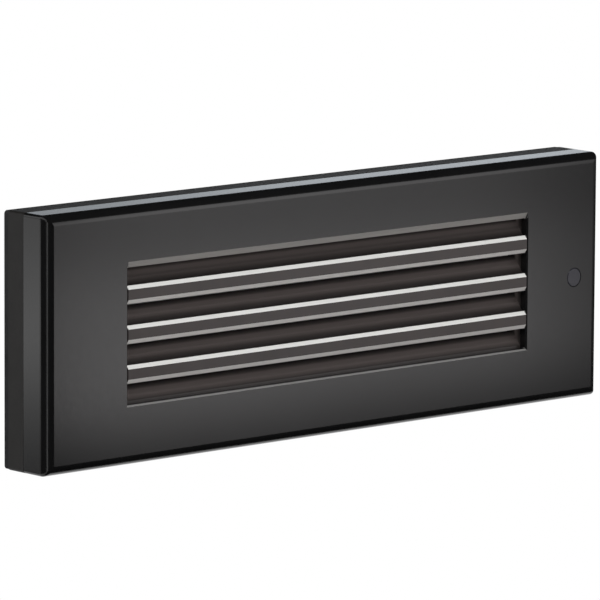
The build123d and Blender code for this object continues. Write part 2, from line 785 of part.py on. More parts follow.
def blade_section(top):
    """Section of one louvre blade, from the front: a bevelled bar, and a fin that rises behind it.
    Points are (distance behind the face, height)."""
    low = top - bar_height
    back = bar_thickness
    rise = fin_rise
    run = rise * cos(radians(fin_slope)) / sin(radians(fin_slope))
    drop = fin_thickness / cos(radians(fin_slope))
    return [
        (0, top - top_bevel_height),
        (top_bevel_depth, top),
        (back - 0.4, top),
        (back - 0.4 + run, top + rise),
        (back - 0.4 + run, top + rise - drop),
        (back, top - drop + 0.4),
        (back, low + 0.4),
        (back - 0.4, low),
        (lip_bevel_depth, low),
        (0, low + lip_bevel_height),
    ]


def blade(section, half_length):
    """A blade section carried along X."""
    side = Plane(origin=(-half_length, 0, 0), x_dir=(0, 1, 0), z_dir=(1, 0, 0))
    outline = Polyline(*[(behind - total_depth, height) for behind, height in section], close=True)
    return extrude(side * make_face(outline), amount=2 * half_length)


def fin_section(top):
    """The lowest fin, which has no bar: its foot stands on the frame."""
    full = blade_section(top)
    behind = front_wall + 2 * seat_gap
    return [(behind, top - 0.6), (behind, full[3][1] - fin_rise + 0.9), full[3], full[4], (behind + 2.2, top - 0.6)]


def make_louvre_grille():
    """Cast insert: a frame behind the opening, three flush bars and four fins."""
    outer = (grille_width - 2 * seat_gap, grille_height - 2 * seat_gap)
    insert = frame(outer, (opening_width, opening_height), 1.0, grille_rear, grille_front)
    overlap = opening_width / 2 + grille_ledge / 2
    behind_wall = slab(2 * overlap, opening_height + 1, 0, grille_rear, grille_front)
    in_opening = slab(opening_width - 4 * seat_gap, opening_height + 1, 0, grille_front - 0.1, total_depth)
    for index in range(bar_count):
        section = blade_section((index + 1) * louvre_pitch - opening_height / 2)
        insert += blade(section, overlap) & (behind_wall + in_opening)
    insert += blade(fin_section(-opening_height / 2), overlap) & behind_wall
    return insert


def make_lens_gasket():
    inner = (lens_width - 2 * lens_gasket_width, lens_height - 2 * lens_gasket_width)
    return frame((lens_width, lens_height), inner, 1.0, lens_front, collar_rear)


def make_lens():
    """Frosted glass with ground edges."""
    pane = slab(lens_width, lens_height, 2.0, lens_rear, lens_front)
    rims = pane.faces().sort_by(Axis.Y)[0].edges() + pane.faces().sort_by(Axis.Y)[-1].edges()
    return chamfer(rims, 0.4)


def make_lens_clamp_frame():
    """Pressed frame over the lens's edge, with a turned-down skirt and a tab at each screw."""
    skirt_inner = (lens_width + 2 * body_gap, lens_height + 2 * body_gap)
    skirt_outer = (skirt_inner[0] + 2 * clamp_sheet, skirt_inner[1] + 2 * clamp_sheet)
    clamp = frame(skirt_outer, clamp_window, 1.5, clamp_rear, lens_rear)
    clamp += frame(skirt_outer, skirt_inner, 1.5, lens_rear, lens_front)
    tab_reach = clamp_screw_z + small_head_radius + clamp_tab_margin
    tab_root = skirt_outer[1] / 2 - 1.0
    for x, z in clamp_screw_places():
        middle = (tab_root + tab_reach) / 2 * (1 if z > 0 else -1)
        clamp += slab(clamp_tab_width, tab_reach - tab_root, 0.8, clamp_rear, lens_rear, x, middle)
    clamp -= [post(x, z, small_pilot_radius + 0.2, clamp_rear, lens_rear) for x, z in clamp_screw_places()]
    return clamp - [post(x, z, clamp_boss_radius + 0.2, lens_rear, lens_front) for x, z in clamp_screw_places()]


def make_clamp_frame_screws():
    """Driven from the rear, so each is a small screw turned to face the wall."""
    screws = Part()
    for x, z in clamp_screw_places():
        seat = clamp_rear - seat_gap
        shank = post(x, z, small_shank_radius, seat, seat + clamp_screw_grip)
        head = post(x, z, small_head_radius, seat - small_head_height, seat)
        head = chamfer(head.faces().sort_by(Axis.Y)[-1].edges(), small_head_height * 0.35)
        arms = Rectangle(cross_length, cross_width) + Rectangle(cross_width, cross_length)
        cut = extrude(wall_plane(seat - small_head_height) * (Pos(x, z) * arms), amount=cross_depth)
        screws += shank + head - cut
    return screws


def make_photocell_window():
    """Light pipe flush with the face, with a flange behind the wall."""
    flange_front = front_wall_rear - window_seal_thickness
    flange_rear = flange_front - window_flange
    pipe = post(photocell_x, 0, photocell_window_radius, flange_rear - window_tail, total_depth)
    pipe = chamfer(pipe.faces().sort_by(Axis.Y)[0].edges(), 0.3)
    return pipe + post(photocell_x, 0, window_flange_radius, flange_rear, flange_front)


def make_photocell_window_seal():
    rear = front_wall_rear - window_seal_thickness
    return tube(photocell_x, 0, window_flange_radius, photocell_window_radius + 0.1, rear, front_wall_rear)


def upright_post(x, radius, low, high):
    """A round post along Z on a cover screw's axis."""
    return extrude(level_plane(low) * (Pos(x, -cover_screw_depth) * Circle(radius)), amount=high - low)


def make_cover_nuts():
    """Thin square nuts with their corners eased."""
    nuts = Part()
    for x in (-cover_screw_x, cover_screw_x):
        outline = Pos(x, -cover_screw_depth) * RectangleRounded(nut_width, nut_width, 0.5)
        nut = extrude(level_plane(nut_underside) * outline, amount=nut_thickness)
        nuts += nut - upright_post(x, cover_screw_radius + running_gap, nut_underside, nut_top)
    return nuts


def make_cover_screw_seals():
    seals = Part()
    for x in (-cover_screw_x, cover_screw_x):
        ring = upright_post(x, cover_head_radius, head_seat + seat_gap, seal_seat)
        seals += ring - upright_post(x, cover_screw_radius + body_gap, head_seat, seal_seat)
    return seals


def make_cover_screw(x):
    """Socket-head screw, put in from the underside and held by its nut."""
    low = cover_floor + cover_head_sink
    head = upright_post(x, cover_head_radius, low, head_seat)
    head = fillet(head.faces().sort_by(Axis.Z)[0].edges(), 0.5)
    shank = upright_post(x, cover_screw_radius, head_seat, nut_top + screw_tail)
    shank = chamfer(shank.faces().sort_by(Axis.Z)[-1].edges(), 0.5)
    socket = Pos(x, -cover_screw_depth) * RegularPolygon(hex_key_width / 2, 6, major_radius=False)
    return head + shank - extrude(level_plane(low) * socket, amount=hex_key_depth)


nodes = {
    "wall_gasket": make_wall_gasket(),
    "back_box": make_back_box(),
    "cover_seal": make_cover_seal(),
    "thermal_pad": make_thermal_pad(),
    "led_board": make_led_board(),
    "led_chips": make_led_chips(),
    "led_board_screws": make_led_board_screws(),
    "reflector": make_reflector(),
    "driver_board": make_driver_board(),
    "driver_board_spacers": make_driver_board_spacers(),
    "driver_board_screws": make_driver_board_screws(),
    "driver_choke": make_driver_choke(),
    "driver_capacitor": make_driver_capacitor(),
    "driver_rectifier": make_driver_rectifier(),
    "driver_chip": make_driver_chip(),
    "driver_fuse": make_driver_fuse(),
    "driver_varistor": make_driver_varistor(),
    "photocell_sensor": make_photocell_sensor(),
    "photocell_sleeve": make_photocell_sleeve(),
    "terminal_block": make_terminal_block(),
    "terminal_screws": make_terminal_screws(),
    "terminal_block_screw": make_terminal_block_screw(),
    "supply_grommet": make_supply_grommet(),
    "earth_screw": make_earth_screw(),
    "earth_tag": make_earth_tag(),
    "earth_lead": make_earth_lead(),
    "neutral_lead": supply_lead("neutral_lead", 1, neutral_run_z, driver_x + neutral_drop_offset),
    "live_lead": supply_lead("live_lead", 2, live_run_z, driver_x + live_drop_offset),
    "led_lead_positive": led_lead("led_lead_positive", led_lead_z[1]),
    "led_lead_negative": led_lead("led_lead_negative", led_lead_z[0]),
    "lead_clips": make_lead_clips(),
    "cover": make_cover(),
    "louvre_grille": make_louvre_grille(),
    "lens_gasket": make_lens_gasket(),
    "lens": make_lens(),
    "lens_clamp_frame": make_lens_clamp_frame(),
    "clamp_frame_screws": make_clamp_frame_screws(),
    "photocell_window": make_photocell_window(),
    "photocell_window_seal": make_photocell_window_seal(),
    "cover_nuts": make_cover_nuts(),
    "cover_screw_seals": make_cover_screw_seals(),
    "cover_screw_left": make_cover_screw(-cover_screw_x),
    "cover_screw_right": make_cover_screw(cover_screw_x),
}

os.makedirs("parts", exist_ok=True)
for name, shape in nodes.items():
    export_step(shape, f"parts/{name}.step")
    print(f"{name}: {len(shape.solids())} solids, {shape.volume:.1f} mm3")
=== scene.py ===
import bpy
import numpy as np
from math import radians, sin, cos, pi
from mathutils import Matrix, Vector


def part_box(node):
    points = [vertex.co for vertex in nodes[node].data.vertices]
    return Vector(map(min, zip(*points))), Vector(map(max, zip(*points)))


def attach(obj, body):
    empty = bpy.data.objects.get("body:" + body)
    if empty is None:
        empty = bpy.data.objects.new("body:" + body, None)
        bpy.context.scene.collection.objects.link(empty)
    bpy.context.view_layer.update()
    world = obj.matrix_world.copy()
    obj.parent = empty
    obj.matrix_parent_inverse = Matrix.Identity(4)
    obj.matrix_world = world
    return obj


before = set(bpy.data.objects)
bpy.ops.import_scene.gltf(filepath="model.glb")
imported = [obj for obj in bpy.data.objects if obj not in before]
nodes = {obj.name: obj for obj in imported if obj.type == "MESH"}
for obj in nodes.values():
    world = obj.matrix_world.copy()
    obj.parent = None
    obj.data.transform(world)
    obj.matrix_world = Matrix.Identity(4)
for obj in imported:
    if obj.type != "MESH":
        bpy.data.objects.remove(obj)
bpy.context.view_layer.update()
scene = bpy.context.scene
scene.view_settings.view_transform = "Standard"

# sizes of the light that the finishes need, in metres
light = {
    "height": 0.08255,
    "depth": 0.0206,
    "openingWidth": 0.174,
    "openingHeight": 0.04389,
    "boardFront": 0.0062,        # driver board's front, from the wall
    "ledBoardFront": 0.0055,
}

# ---- camera, from the fit of the outline, the louvre lines and the opening
cameraSetup = {
    "azimuth": 42.0,             # degrees to the left of straight in front
    "elevation": 8.8,
    "roll": 0.32,                # degrees that the picture turns clockwise
    "distance": 2.1235,
    "lens": 390.95,
    "shiftRight": 0.00311,
    "shiftUp": 0.00073,
}


def makeCamera(setup):
    a, e, t = radians(setup["azimuth"]), radians(setup["elevation"]), radians(setup["roll"])
    back = Vector((-sin(a) * cos(e), -cos(a) * cos(e), sin(e)))       # from the light to the camera
    right = Vector((cos(a), -sin(a), 0.0))
    up = Vector((sin(a) * sin(e), cos(a) * sin(e), cos(e)))
    place = back * setup["distance"] + right * setup["shiftRight"] + up * setup["shiftUp"]
    turnedRight = right * cos(t) + up * sin(t)
    turnedUp = up * cos(t) - right * sin(t)
    data = bpy.data.cameras.new("photoCamera")
    data.lens = setup["lens"]
    data.sensor_width = 36.0
    data.clip_start, data.clip_end = 0.05, 40.0
    cam = bpy.data.objects.new("photoCamera", data)
    scene.collection.objects.link(cam)
    turn = Matrix((turnedRight, turnedUp, back)).transposed().to_4x4()
    cam.matrix_world = Matrix.Translation(place) @ turn
    scene.camera = cam


makeCamera(cameraSetup)
print("camera set")


# ---- node helpers
def newMaterial(name):
    mat = bpy.data.materials.new(name)
    mat.use_nodes = True
    tree = mat.node_tree
    tree.nodes.clear()
    shader = tree.nodes.new("ShaderNodeBsdfPrincipled")
    out = tree.nodes.new("ShaderNodeOutputMaterial")
    tree.links.new(shader.outputs["BSDF"], out.inputs["Surface"])
    return mat, tree, shader


def addNode(tree, kind, **values):
    node = tree.nodes.new(kind)
    for key, value in values.items():
        setattr(node, key, value)
    return node


def objectCoordinates(tree):
    return addNode(tree, "ShaderNodeTexCoord").outputs["Object"]


def noise(tree, vector, scale, detail=3.0, rough=0.5):
    # detail is the number of finer layers, and rough is how much each one keeps
    node = addNode(tree, "ShaderNodeTexNoise")
    node.inputs["Scale"].default_value = scale
    node.inputs["Detail"].default_value = detail
    node.inputs["Roughness"].default_value = rough
    tree.links.new(vector, node.inputs["Vector"])
    return node.outputs["Fac"]


def fineNoise(tree, vector, scale):
    return noise(tree, vector, scale, 4.0, 0.6)


def mapRange(tree, value, fromLow, fromHigh, toLow, toHigh):
    node = addNode(tree, "ShaderNodeMapRange")
    for name, number in (("From Min", fromLow), ("From Max", fromHigh),
                         ("To Min", toLow), ("To Max", toHigh)):
        node.inputs[name].default_value = number
    tree.links.new(value, node.inputs["Value"])
    return node.outputs["Result"]


noiseSpan = (0.3, 0.7)           # noise values between which a finish goes from one end to the other


def spread(tree, value, toLow, toHigh):
    # a noise stretched from that span to the given one, and held at its ends
    return mapRange(tree, value, *noiseSpan, toLow, toHigh)


def math(tree, operation, first, second=None):
    node = addNode(tree, "ShaderNodeMath", operation=operation)
    for index, value in enumerate((first, second)):
        if value is None:
            continue
        if isinstance(value, (int, float)):
            node.inputs[index].default_value = value
        else:
            tree.links.new(value, node.inputs[index])
    return node.outputs["Value"]


def product(tree, *values):
    result = values[0]
    for value in values[1:]:
        result = math(tree, "MULTIPLY", result, value)
    return result


def within(tree, value, middle, half):
    # 1 where the value lies less than half from the middle
    return math(tree, "LESS_THAN", math(tree, "ABSOLUTE", math(tree, "SUBTRACT", value, middle)), half)


def mixColor(tree, factor, first, second):
    node = addNode(tree, "ShaderNodeMix", data_type="RGBA")
    tree.links.new(factor, node.inputs["Factor"])
    for socket, value in ((node.inputs[6], first), (node.inputs[7], second)):
        if isinstance(value, tuple):
            socket.default_value = (*value, 1.0)
        else:
            tree.links.new(value, socket)
    return node.outputs[2]


def bump(tree, height, strength, distance):
    node = addNode(tree, "ShaderNodeBump")
    node.inputs["Strength"].default_value = strength
    node.inputs["Distance"].default_value = distance
    tree.links.new(height, node.inputs["Height"])
    return node.outputs["Normal"]


def axes(tree, vector):
    node = addNode(tree, "ShaderNodeSeparateXYZ")
    tree.links.new(vector, node.inputs[0])
    return node.outputs[0], node.outputs[1], node.outputs[2]


def degreesOf(tree, rise, run):
    # the angle whose tangent is rise over run
    return math(tree, "MULTIPLY", math(tree, "ARCTAN2", rise, run), 180.0 / pi)


def trueNormal(tree):
    return axes(tree, addNode(tree, "ShaderNodeNewGeometry").outputs["True Normal"])


def ramp(tree, value, stops):
    # a curve through stops of (place, level), first to last, with the highest level as its white
    low, high = stops[0][0], stops[-1][0]
    top = max(level for place, level in stops)
    node = addNode(tree, "ShaderNodeValToRGB")
    elements = node.color_ramp.elements
    while len(elements) < len(stops):
        elements.new(0.5)
    for element, (place, level) in zip(elements, stops):
        element.position = (place - low) / (high - low)
    for element, (place, level) in zip(elements, stops):
        element.color = (level / top, level / top, level / top, 1.0)
    tree.links.new(mapRange(tree, value, low, high, 0.0, 1.0), node.inputs[0])
    return math(tree, "MULTIPLY", node.outputs["Color"], top)


def stretched(tree, where, scale):
    node = addNode(tree, "ShaderNodeMapping")
    node.inputs["Scale"].default_value = scale
    tree.links.new(where, node.inputs["Vector"])
    return node.outputs["Vector"]


# ---- painted highlights on cut edges: the bars' bevels and the opening's own edges get a pale, partly metallic colour that stands in for the light they catch
highlightEdge = {
    "reach": 0.0013,             # how far behind the face a cut may lie
    "margin": 0.0022,            # how far outside the opening
    "leanLow": 0.35,             # upright part of a cut's normal
    "leanHigh": 0.80,
    "metallic": 0.30,
    "roughness": 0.42,
    "streakScale": 12.0,         # streaks in the painted highlight, drawn out along X
    "streakStretch": (6.0, 400.0, 400.0),
    "streakShade": 0.86,         # darkest part of a streak, as a share of the painted highlight's colour
}


def highlightMask(tree, where):
    # 1 where the highlight is painted: on surfaces that lean up or down off the face, just behind it and
    #                                   inside the opening's outline
    x, y, z = axes(tree, where)
    nz = trueNormal(tree)[2]
    lean = math(tree, "ABSOLUTE", nz)
    leans = product(tree, math(tree, "GREATER_THAN", lean, highlightEdge["leanLow"]),
                    math(tree, "LESS_THAN", lean, highlightEdge["leanHigh"]))
    near = math(tree, "LESS_THAN", y, highlightEdge["reach"] - light["depth"])
    inside = product(tree, within(tree, x, 0.0, light["openingWidth"] / 2 + highlightEdge["margin"]),
                     within(tree, z, 0.0, light["openingHeight"] / 2 + highlightEdge["margin"]))
    return product(tree, leans, near, inside), nz


def paintHighlight(tree, where, setup, color, shader, roughness):
    # lays a painted highlight over the paint where the mask is 1, partly metallic and with streaks along X
    mask, nz = highlightMask(tree, where)
    streak = noise(tree, stretched(tree, where, highlightEdge["streakStretch"]), highlightEdge["streakScale"], 4.0)
    # painted highlight: one colour on bevels that face up, another on those that face down
    facing = mixColor(tree, math(tree, "GREATER_THAN", nz, 0.0), setup["highlightBelow"], setup["highlightAbove"])
    streakedHighlight = addNode(tree, "ShaderNodeMix", data_type="RGBA", blend_type="MULTIPLY")
    streakedHighlight.inputs["Factor"].default_value = 1.0
    tree.links.new(facing, streakedHighlight.inputs[6])
    tree.links.new(spread(tree, streak, highlightEdge["streakShade"], 1.0), streakedHighlight.inputs[7])
    edgeHighlight = streakedHighlight.outputs[2]
    tree.links.new(mixColor(tree, mask, color, edgeHighlight), shader.inputs["Base Color"])
    tree.links.new(math(tree, "MULTIPLY", mask, highlightEdge["metallic"]), shader.inputs["Metallic"])
    mixed = addNode(tree, "ShaderNodeMix", data_type="FLOAT")
    tree.links.new(mask, mixed.inputs["Factor"])
    tree.links.new(roughness, mixed.inputs[2])
    mixed.inputs[3].default_value = highlightEdge["roughness"]
    tree.links.new(mixed.outputs[0], shader.inputs["Roughness"])


# ---- what both paints share: a soft cloudiness, and an orange peel that also varies the gloss
coat = {
    "cloudScale": 60.0,
    "cloudLift": 1.25,           # palest part of a cloud, as a share of the colour
    "peelRelief": 0.25,
    "glossLow": 0.94,
    "glossHigh": 1.08,
    "paintedRecessStart": 0.0012,         # the painted light and shade by depth begins this far behind the face
}

# ---- the cover's paint: near-black gloss coat over a very fine orange peel
coverPaint = {
    "color": (0.0045, 0.0045, 0.0047),
    # painted highlights on the opening's edges, for those facing up and those facing down
    "highlightAbove": (0.27, 0.265, 0.26),
    "highlightBelow": (0.43, 0.41, 0.395),
    "roughness": 0.18,
    "ior": 1.52,
    "peelScale": 900.0,
    "peelDepth": 0.000010,
}


def makePaint(name, setup):
    mat, tree, shader = newMaterial(name)
    where = objectCoordinates(tree)
    fine = fineNoise(tree, where, setup["peelScale"])
    broad = noise(tree, where, coat["cloudScale"])
    pale = tuple(v * coat["cloudLift"] for v in setup["color"])
    shade = mixColor(tree, spread(tree, broad, 0.0, 1.0), setup["color"], pale)
    if "paintedRecessLevels" in setup:      # painted light and shade: the tone changes with the distance behind the face, dark just behind the face and deep in the slots, pale on a band between
        behind = math(tree, "ADD", axes(tree, where)[1], light["depth"])
        grey = ramp(tree, behind, setup["paintedRecessLevels"])
        recessPaintedLight = addNode(tree, "ShaderNodeCombineColor")
        for index in range(3):
            tree.links.new(math(tree, "MULTIPLY", grey, setup["paintedRecessTint"][index]), recessPaintedLight.inputs[index])
        shade = mixColor(tree, math(tree, "GREATER_THAN", behind, coat["paintedRecessStart"]), shade, recessPaintedLight.outputs[0])
    rough = spread(tree, fine, setup["roughness"] * coat["glossLow"], setup["roughness"] * coat["glossHigh"])
    paintHighlight(tree, where, setup, shade, shader, rough)
    shader.inputs["IOR"].default_value = setup["ior"]
    tree.links.new(bump(tree, fine, coat["peelRelief"], setup["peelDepth"]), shader.inputs["Normal"])
    return mat


# ---- the louvre's paint: a duller, slightly warm coat. Its tone by depth, painted light and shade in the slots, has stops of (metres, level)
grillePaint = {
    "color": (0.0350, 0.0285, 0.0275),
    "paintedRecessLevels": [(0.0, 0.02), (0.0022, 0.012), (0.0031, 0.030), (0.0038, 0.075), (0.0046, 0.19),
                   (0.0053, 0.22), (0.0058, 0.10), (0.0064, 0.04), (0.0090, 0.025)],
    "paintedRecessTint": (1.0, 0.84, 0.80),
    # painted highlights on the bars' bevels, for those facing up and those facing down
    "highlightAbove": (0.99, 0.99, 0.96),
    "highlightBelow": (0.90, 0.87, 0.85),
    "roughness": 0.38,
    "ior": 1.5,
    "peelScale": 1400.0,
    "peelDepth": 0.000012,
}


# ---- plain finishes: a mottled colour, a roughness that varies and a grain that stands out of the surface
finishes = {
    "foamSheet": {"on": ["wall_gasket"], "color": (0.020, 0.020, 0.021), "roughness": 0.95, "grain": 1500.0,
                  "rise": 0.00010, "mottle": 0.30, "pores": True},
    "boxPlastic": {"on": ["back_box"], "color": (0.0130, 0.0118, 0.0110), "roughness": 0.54, "grain": 2200.0,
                   "rise": 0.00003, "mottle": 0.12, "specular": 0.34},
    "sealSilicone": {"on": ["cover_seal", "lens_gasket", "photocell_window_seal"],
                     "color": (0.060, 0.062, 0.066), "roughness": 0.55, "grain": 700.0, "rise": 0.00001,
                     "mottle": 0.08},
    "heatPad": {"on": ["thermal_pad"], "color": (0.30, 0.36, 0.44), "roughness": 0.75, "grain": 900.0,
                "rise": 0.00003, "mottle": 0.15},
    "reflectorWhite": {"on": ["reflector"], "color": (0.86, 0.86, 0.84), "roughness": 0.34, "grain": 500.0,
                       "rise": 0.00001, "mottle": 0.03},
    "nylon": {"on": ["lead_clips", "driver_board_spacers"], "color": (0.74, 0.72, 0.65), "roughness": 0.45,
              "grain": 800.0, "rise": 0.00002, "mottle": 0.07},
    "ferrite": {"on": ["driver_choke"], "color": (0.050, 0.052, 0.056), "roughness": 0.70, "grain": 2600.0,
                "rise": 0.00004, "mottle": 0.30},
    "fuseBrown": {"on": ["driver_fuse"], "color": (0.085, 0.040, 0.024), "roughness": 0.38, "grain": 600.0,
                  "rise": 0.00001, "mottle": 0.08},
    "varistorBlue": {"on": ["driver_varistor"], "color": (0.030, 0.085, 0.30), "roughness": 0.36,
                     "grain": 450.0, "rise": 0.00005, "mottle": 0.12},
    "rubber": {"on": ["photocell_sleeve", "supply_grommet", "cover_screw_seals"],
               "color": (0.016, 0.016, 0.017), "roughness": 0.72, "grain": 1300.0, "rise": 0.00003,
               "mottle": 0.18},
    "terminalWhite": {"on": ["terminal_block"], "color": (0.72, 0.71, 0.67), "roughness": 0.42,
                      "grain": 1000.0, "rise": 0.00002, "mottle": 0.05},
    "leadGreen": {"on": ["earth_lead"], "color": (0.020, 0.20, 0.060), "roughness": 0.40, "grain": 500.0,
                  "rise": 0.00001, "mottle": 0.10},
    "leadWhite": {"on": ["neutral_lead"], "color": (0.70, 0.70, 0.68), "roughness": 0.40, "grain": 500.0,
                  "rise": 0.00001, "mottle": 0.06},
    "leadBlack": {"on": ["live_lead", "led_lead_negative"], "color": (0.014, 0.014, 0.015),
                  "roughness": 0.38, "grain": 500.0, "rise": 0.00001, "mottle": 0.10},
    "leadRed": {"on": ["led_lead_positive"], "color": (0.42, 0.022, 0.018), "roughness": 0.38,
                "grain": 500.0, "rise": 0.00001, "mottle": 0.10},
}
moulding = {
    "mottleShare": 0.08,         # the mottle's scale as a share of the grain's
    "grainInPores": 0.4,         # how much of the grain is laid over the pores
    "glossLow": 0.92,
    "glossHigh": 1.08,
    "relief": 0.5,
}


def makeMoulded(name, setup):
    mat, tree, shader = newMaterial(name)
    where = objectCoordinates(tree)
    broad = noise(tree, where, setup["grain"] * moulding["mottleShare"], 4.0)
    dark = tuple(v * (1 - setup["mottle"]) for v in setup["color"])
    pale = tuple(min(1.0, v * (1 + setup["mottle"])) for v in setup["color"])
    color = mixColor(tree, spread(tree, broad, 0.0, 1.0), dark, pale)
    fine = fineNoise(tree, where, setup["grain"])
    if setup.get("pores"):
        cells = addNode(tree, "ShaderNodeTexVoronoi")
        cells.inputs["Scale"].default_value = setup["grain"]
        tree.links.new(where, cells.inputs["Vector"])
        fine = math(tree, "MULTIPLY", fine, moulding["grainInPores"])
        fine = math(tree, "ADD", fine, cells.outputs["Distance"])
    tree.links.new(color, shader.inputs["Base Color"])
    dullest = min(1.0, setup["roughness"] * moulding["glossHigh"])
    rough = spread(tree, fine, setup["roughness"] * moulding["glossLow"], dullest)
    tree.links.new(rough, shader.inputs["Roughness"])
    shader.inputs["Specular IOR Level"].default_value = setup.get("specular", 0.5)
    tree.links.new(bump(tree, fine, moulding["relief"], setup["rise"]), shader.inputs["Normal"])
    return mat


# ---- metal finishes: plated or rolled, with a grain drawn out along one way
metals = {
    "zincPlate": {"on": ["led_board_screws", "driver_board_screws", "terminal_screws",
                         "terminal_block_screw", "clamp_frame_screws"],
                  "color": (0.66, 0.68, 0.70), "tint": (0.72, 0.68, 0.60), "roughness": 0.30,
                  "grain": (900, 900, 900)},
    "greenScrew": {"on": ["earth_screw"], "color": (0.10, 0.34, 0.14), "tint": (0.20, 0.42, 0.20),
                   "roughness": 0.34, "grain": (800, 800, 800)},
    "tinnedBrass": {"on": ["earth_tag"], "color": (0.72, 0.70, 0.64), "tint": (0.74, 0.62, 0.40),
                    "roughness": 0.33, "grain": (500, 500, 1500)},
    "rolledSteel": {"on": ["lens_clamp_frame"], "color": (0.58, 0.59, 0.60), "tint": (0.50, 0.51, 0.53),
                    "roughness": 0.38, "grain": (60, 1400, 1400)},
    "stainless": {"on": ["cover_nuts"], "color": (0.62, 0.61, 0.60), "tint": (0.56, 0.55, 0.54),
                  "roughness": 0.28, "grain": (1200, 200, 200)},
    "blackOxide": {"on": ["cover_screw_left", "cover_screw_right"], "color": (0.022, 0.022, 0.024),
                   "tint": (0.040, 0.036, 0.034), "roughness": 0.36, "grain": (900, 900, 900)},
}
plating = {
    "cloudScale": 180.0,
    "cloudSpan": (0.35, 0.7),    # noise values between which the colour turns to the tint
    "glossLow": 0.85,
    "glossHigh": 1.15,
    "relief": 0.2,
    "rise": 0.00001,
}


def makeMetal(name, setup):
    mat, tree, shader = newMaterial(name)
    where = objectCoordinates(tree)
    grain = fineNoise(tree, stretched(tree, where, setup["grain"]), 1.0)
    cloud = noise(tree, where, plating["cloudScale"], 4.0)
    tinted = mapRange(tree, cloud, *plating["cloudSpan"], 0.0, 1.0)
    color = mixColor(tree, tinted, setup["color"], setup["tint"])
    tree.links.new(color, shader.inputs["Base Color"])
    shader.inputs["Metallic"].default_value = 1.0
    rough = spread(tree, grain, setup["roughness"] * plating["glossLow"],
                   setup["roughness"] * plating["glossHigh"])
    tree.links.new(rough, shader.inputs["Roughness"])
    tree.links.new(bump(tree, grain, plating["relief"], plating["rise"]), shader.inputs["Normal"])
    return mat


# ---- circuit boards: solder mask over copper runs that show as a raised, paler grid
boards = {
    "greenMask": {"on": ["driver_board"], "mask": (0.010, 0.095, 0.040), "copper": (0.022, 0.155, 0.062),
                  "bare": (0.30, 0.27, 0.14), "roughness": 0.30, "pitch": 0.0030},
    "whiteMask": {"on": ["led_board"], "mask": (0.80, 0.80, 0.78), "copper": (0.87, 0.87, 0.85),
                  "bare": (0.55, 0.56, 0.57), "roughness": 0.36, "pitch": 0.0120},
}
boardMask = {
    "runHalf": 0.14,             # half a copper run's width, as a share of the pitch
    "runSoftness": 0.1,
    "runRise": 0.00004,
    "runRelief": 0.4,
    "sawnLean": 0.5,             # a cut edge is where the normal's Y part is below this
    "weaveScale": 2500.0,
    "glossLow": 0.9,
    "glossHigh": 1.2,
}


def makeBoard(name, setup):
    mat, tree, shader = newMaterial(name)
    where = objectCoordinates(tree)
    x, y, z = axes(tree, where)
    flat = addNode(tree, "ShaderNodeCombineXYZ")
    tree.links.new(x, flat.inputs[0])
    tree.links.new(z, flat.inputs[1])
    bricks = addNode(tree, "ShaderNodeTexBrick")
    for socket, number in (("Scale", 1.0), ("Mortar Size", setup["pitch"] * boardMask["runHalf"]),
                           ("Mortar Smooth", boardMask["runSoftness"]), ("Brick Width", setup["pitch"] * 2),
                           ("Row Height", setup["pitch"])):
        bricks.inputs[socket].default_value = number
    tree.links.new(flat.outputs[0], bricks.inputs["Vector"])
    run = bricks.outputs["Fac"]
    sawn = math(tree, "LESS_THAN", math(tree, "ABSOLUTE", trueNormal(tree)[1]), boardMask["sawnLean"])
    color = mixColor(tree, run, setup["mask"], setup["copper"])
    color = mixColor(tree, sawn, color, setup["bare"])
    weave = noise(tree, where, boardMask["weaveScale"])
    tree.links.new(color, shader.inputs["Base Color"])
    rough = spread(tree, weave, setup["roughness"] * boardMask["glossLow"],
                   setup["roughness"] * boardMask["glossHigh"])
    tree.links.new(rough, shader.inputs["Roughness"])
    tree.links.new(bump(tree, run, boardMask["runRelief"], boardMask["runRise"]), shader.inputs["Normal"])
    return mat


# ---- packages with bare metal on part of them: legs to the sides of a body, or a can's bare top
packages = {
    "rectifierBlack": {"on": "driver_rectifier", "body": (0.013, 0.013, 0.014), "across": "x",
                       "half": 0.00322, "roughness": 0.48},
    "chipBlack": {"on": "driver_chip", "body": (0.012, 0.012, 0.013), "across": "z", "half": 0.00197,
                  "roughness": 0.50},
    "canSleeve": {"on": "driver_capacitor", "body": (0.020, 0.028, 0.060), "across": "top", "half": 0.0,
                  "roughness": 0.30},
}
packageSkin = {
    "bareMetal": (0.70, 0.70, 0.69),
    "topLean": -0.75,            # a can's top is where the normal's Y part is below this
    "grainScale": 1800.0,
    "grainLift": 1.5,
    "glossLow": 0.85,
    "glossHigh": 1.1,
    "relief": 0.3,
    "rise": 0.00003,
}


def makePackage(name, setup):
    mat, tree, shader = newMaterial(name)
    where = objectCoordinates(tree)
    x, y, z = axes(tree, where)
    low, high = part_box(setup["on"])
    if setup["across"] == "top":
        bare = math(tree, "LESS_THAN", trueNormal(tree)[1], packageSkin["topLean"])
    else:
        along, index = (x, 0) if setup["across"] == "x" else (z, 2)
        middle = (low[index] + high[index]) / 2
        bare = math(tree, "SUBTRACT", 1.0, within(tree, along, middle, setup["half"]))
    grain = fineNoise(tree, where, packageSkin["grainScale"])
    pale = tuple(v * packageSkin["grainLift"] for v in setup["body"])
    color = mixColor(tree, spread(tree, grain, 0.0, 1.0), setup["body"], pale)
    tree.links.new(mixColor(tree, bare, color, packageSkin["bareMetal"]), shader.inputs["Base Color"])
    tree.links.new(bare, shader.inputs["Metallic"])
    rough = spread(tree, grain, setup["roughness"] * packageSkin["glossLow"],
                   setup["roughness"] * packageSkin["glossHigh"])
    tree.links.new(rough, shader.inputs["Roughness"])
    tree.links.new(bump(tree, grain, packageSkin["relief"], packageSkin["rise"]), shader.inputs["Normal"])
    return mat


